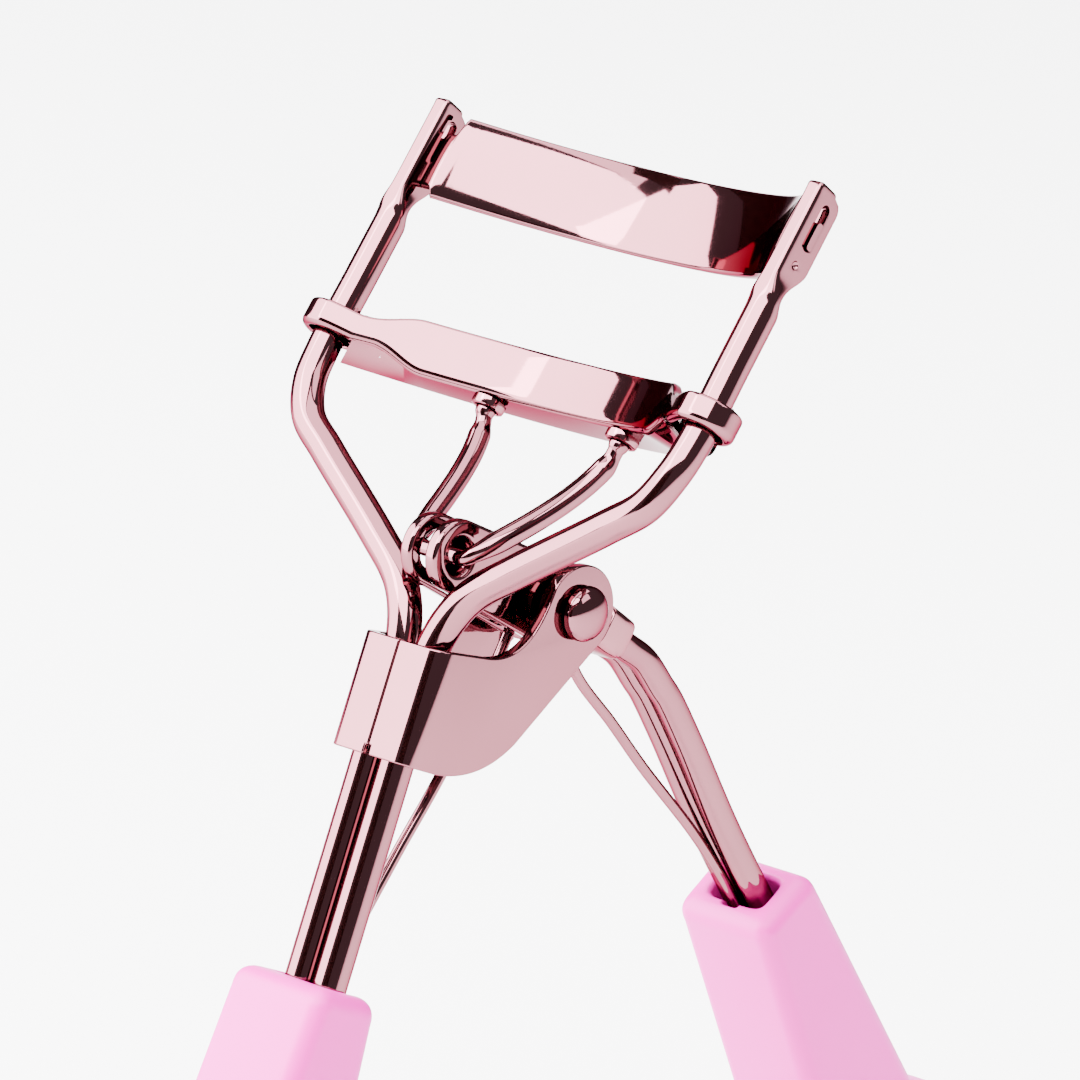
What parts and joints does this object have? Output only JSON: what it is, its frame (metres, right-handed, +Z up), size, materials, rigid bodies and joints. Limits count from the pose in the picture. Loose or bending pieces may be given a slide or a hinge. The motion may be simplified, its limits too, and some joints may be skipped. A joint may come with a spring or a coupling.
{
  "type": "eyelash curler",
  "caption": "Hand-held eyelash curler: bent-wire frame, sliding lower jaw pushed by a lever and wire yoke, two finger-loop grips, return spring.",
  "frame": {"origin": "on the surface it stands on, below the middle of the curler's length and width", "axes": "+Z up with the handles open and standing on both finger loops, +X across the jaws, +Y from the fixed handle towards the moving handle"},
  "size_m": [0.0406, 0.1024, 0.1023],
  "materials": {
    "rose_metal": "mirror-like rose gold plating",
    "bright_metal": "mirror-like rose gold plating, a little lighter",
    "grip_plastic": "satin orchid pink moulded plastic",
    "silicone": "matte pale silicone"
  },
  "bodies": {
    "frame": {"left_frame_rod": "rose_metal", "right_frame_rod": "rose_metal", "upper_jaw": "rose_metal", "clamp_bracket": "rose_metal", "rod_spacer": "bright_metal", "pivot_rivet": "rose_metal", "left_pivot_washer": "bright_metal", "right_pivot_washer": "bright_metal", "fixed_grip": "grip_plastic"},
    "lever": {"lever_channel": "rose_metal", "shank_collar": "bright_metal", "left_handle_rod": "rose_metal", "right_handle_rod": "rose_metal", "moving_grip": "grip_plastic", "return_spring": "rose_metal"},
    "slider": {"lower_jaw": "rose_metal", "lash_pad": "silicone", "left_yoke_socket": "bright_metal", "right_yoke_socket": "bright_metal"},
    "yoke": {"yoke_wire": "rose_metal"}
  },
  "joints": [
    {"name": "handle_pivot", "type": "hinge", "parent": "frame", "child": "lever", "pos_m": [0, -0.0004, 0.0705], "axis": [-1, 0, 0], "range_deg": [0, 46.6], "stiffness_Nm_per_rad": 0.08, "springref_deg": -17.19, "deforming": ["return_spring"]},
    {"name": "jaw_slide", "type": "slide", "parent": "frame", "child": "slider", "axis": [0, 0.6455, 0.7638], "range_m": [0, 0.00915]},
    {"name": "yoke_pivot", "type": "hinge", "parent": "slider", "child": "yoke", "pos_m": [0, 0.00078, 0.08299], "axis": [1, 0, 0], "range_deg": [0, 6.9]}
  ],
  "couplings": [
    {"joint": "jaw_slide", "follows": "handle_pivot", "m_per_rad": 0.011248},
    {"joint": "yoke_pivot", "follows": "handle_pivot", "ratio": 0.148}
  ]
}
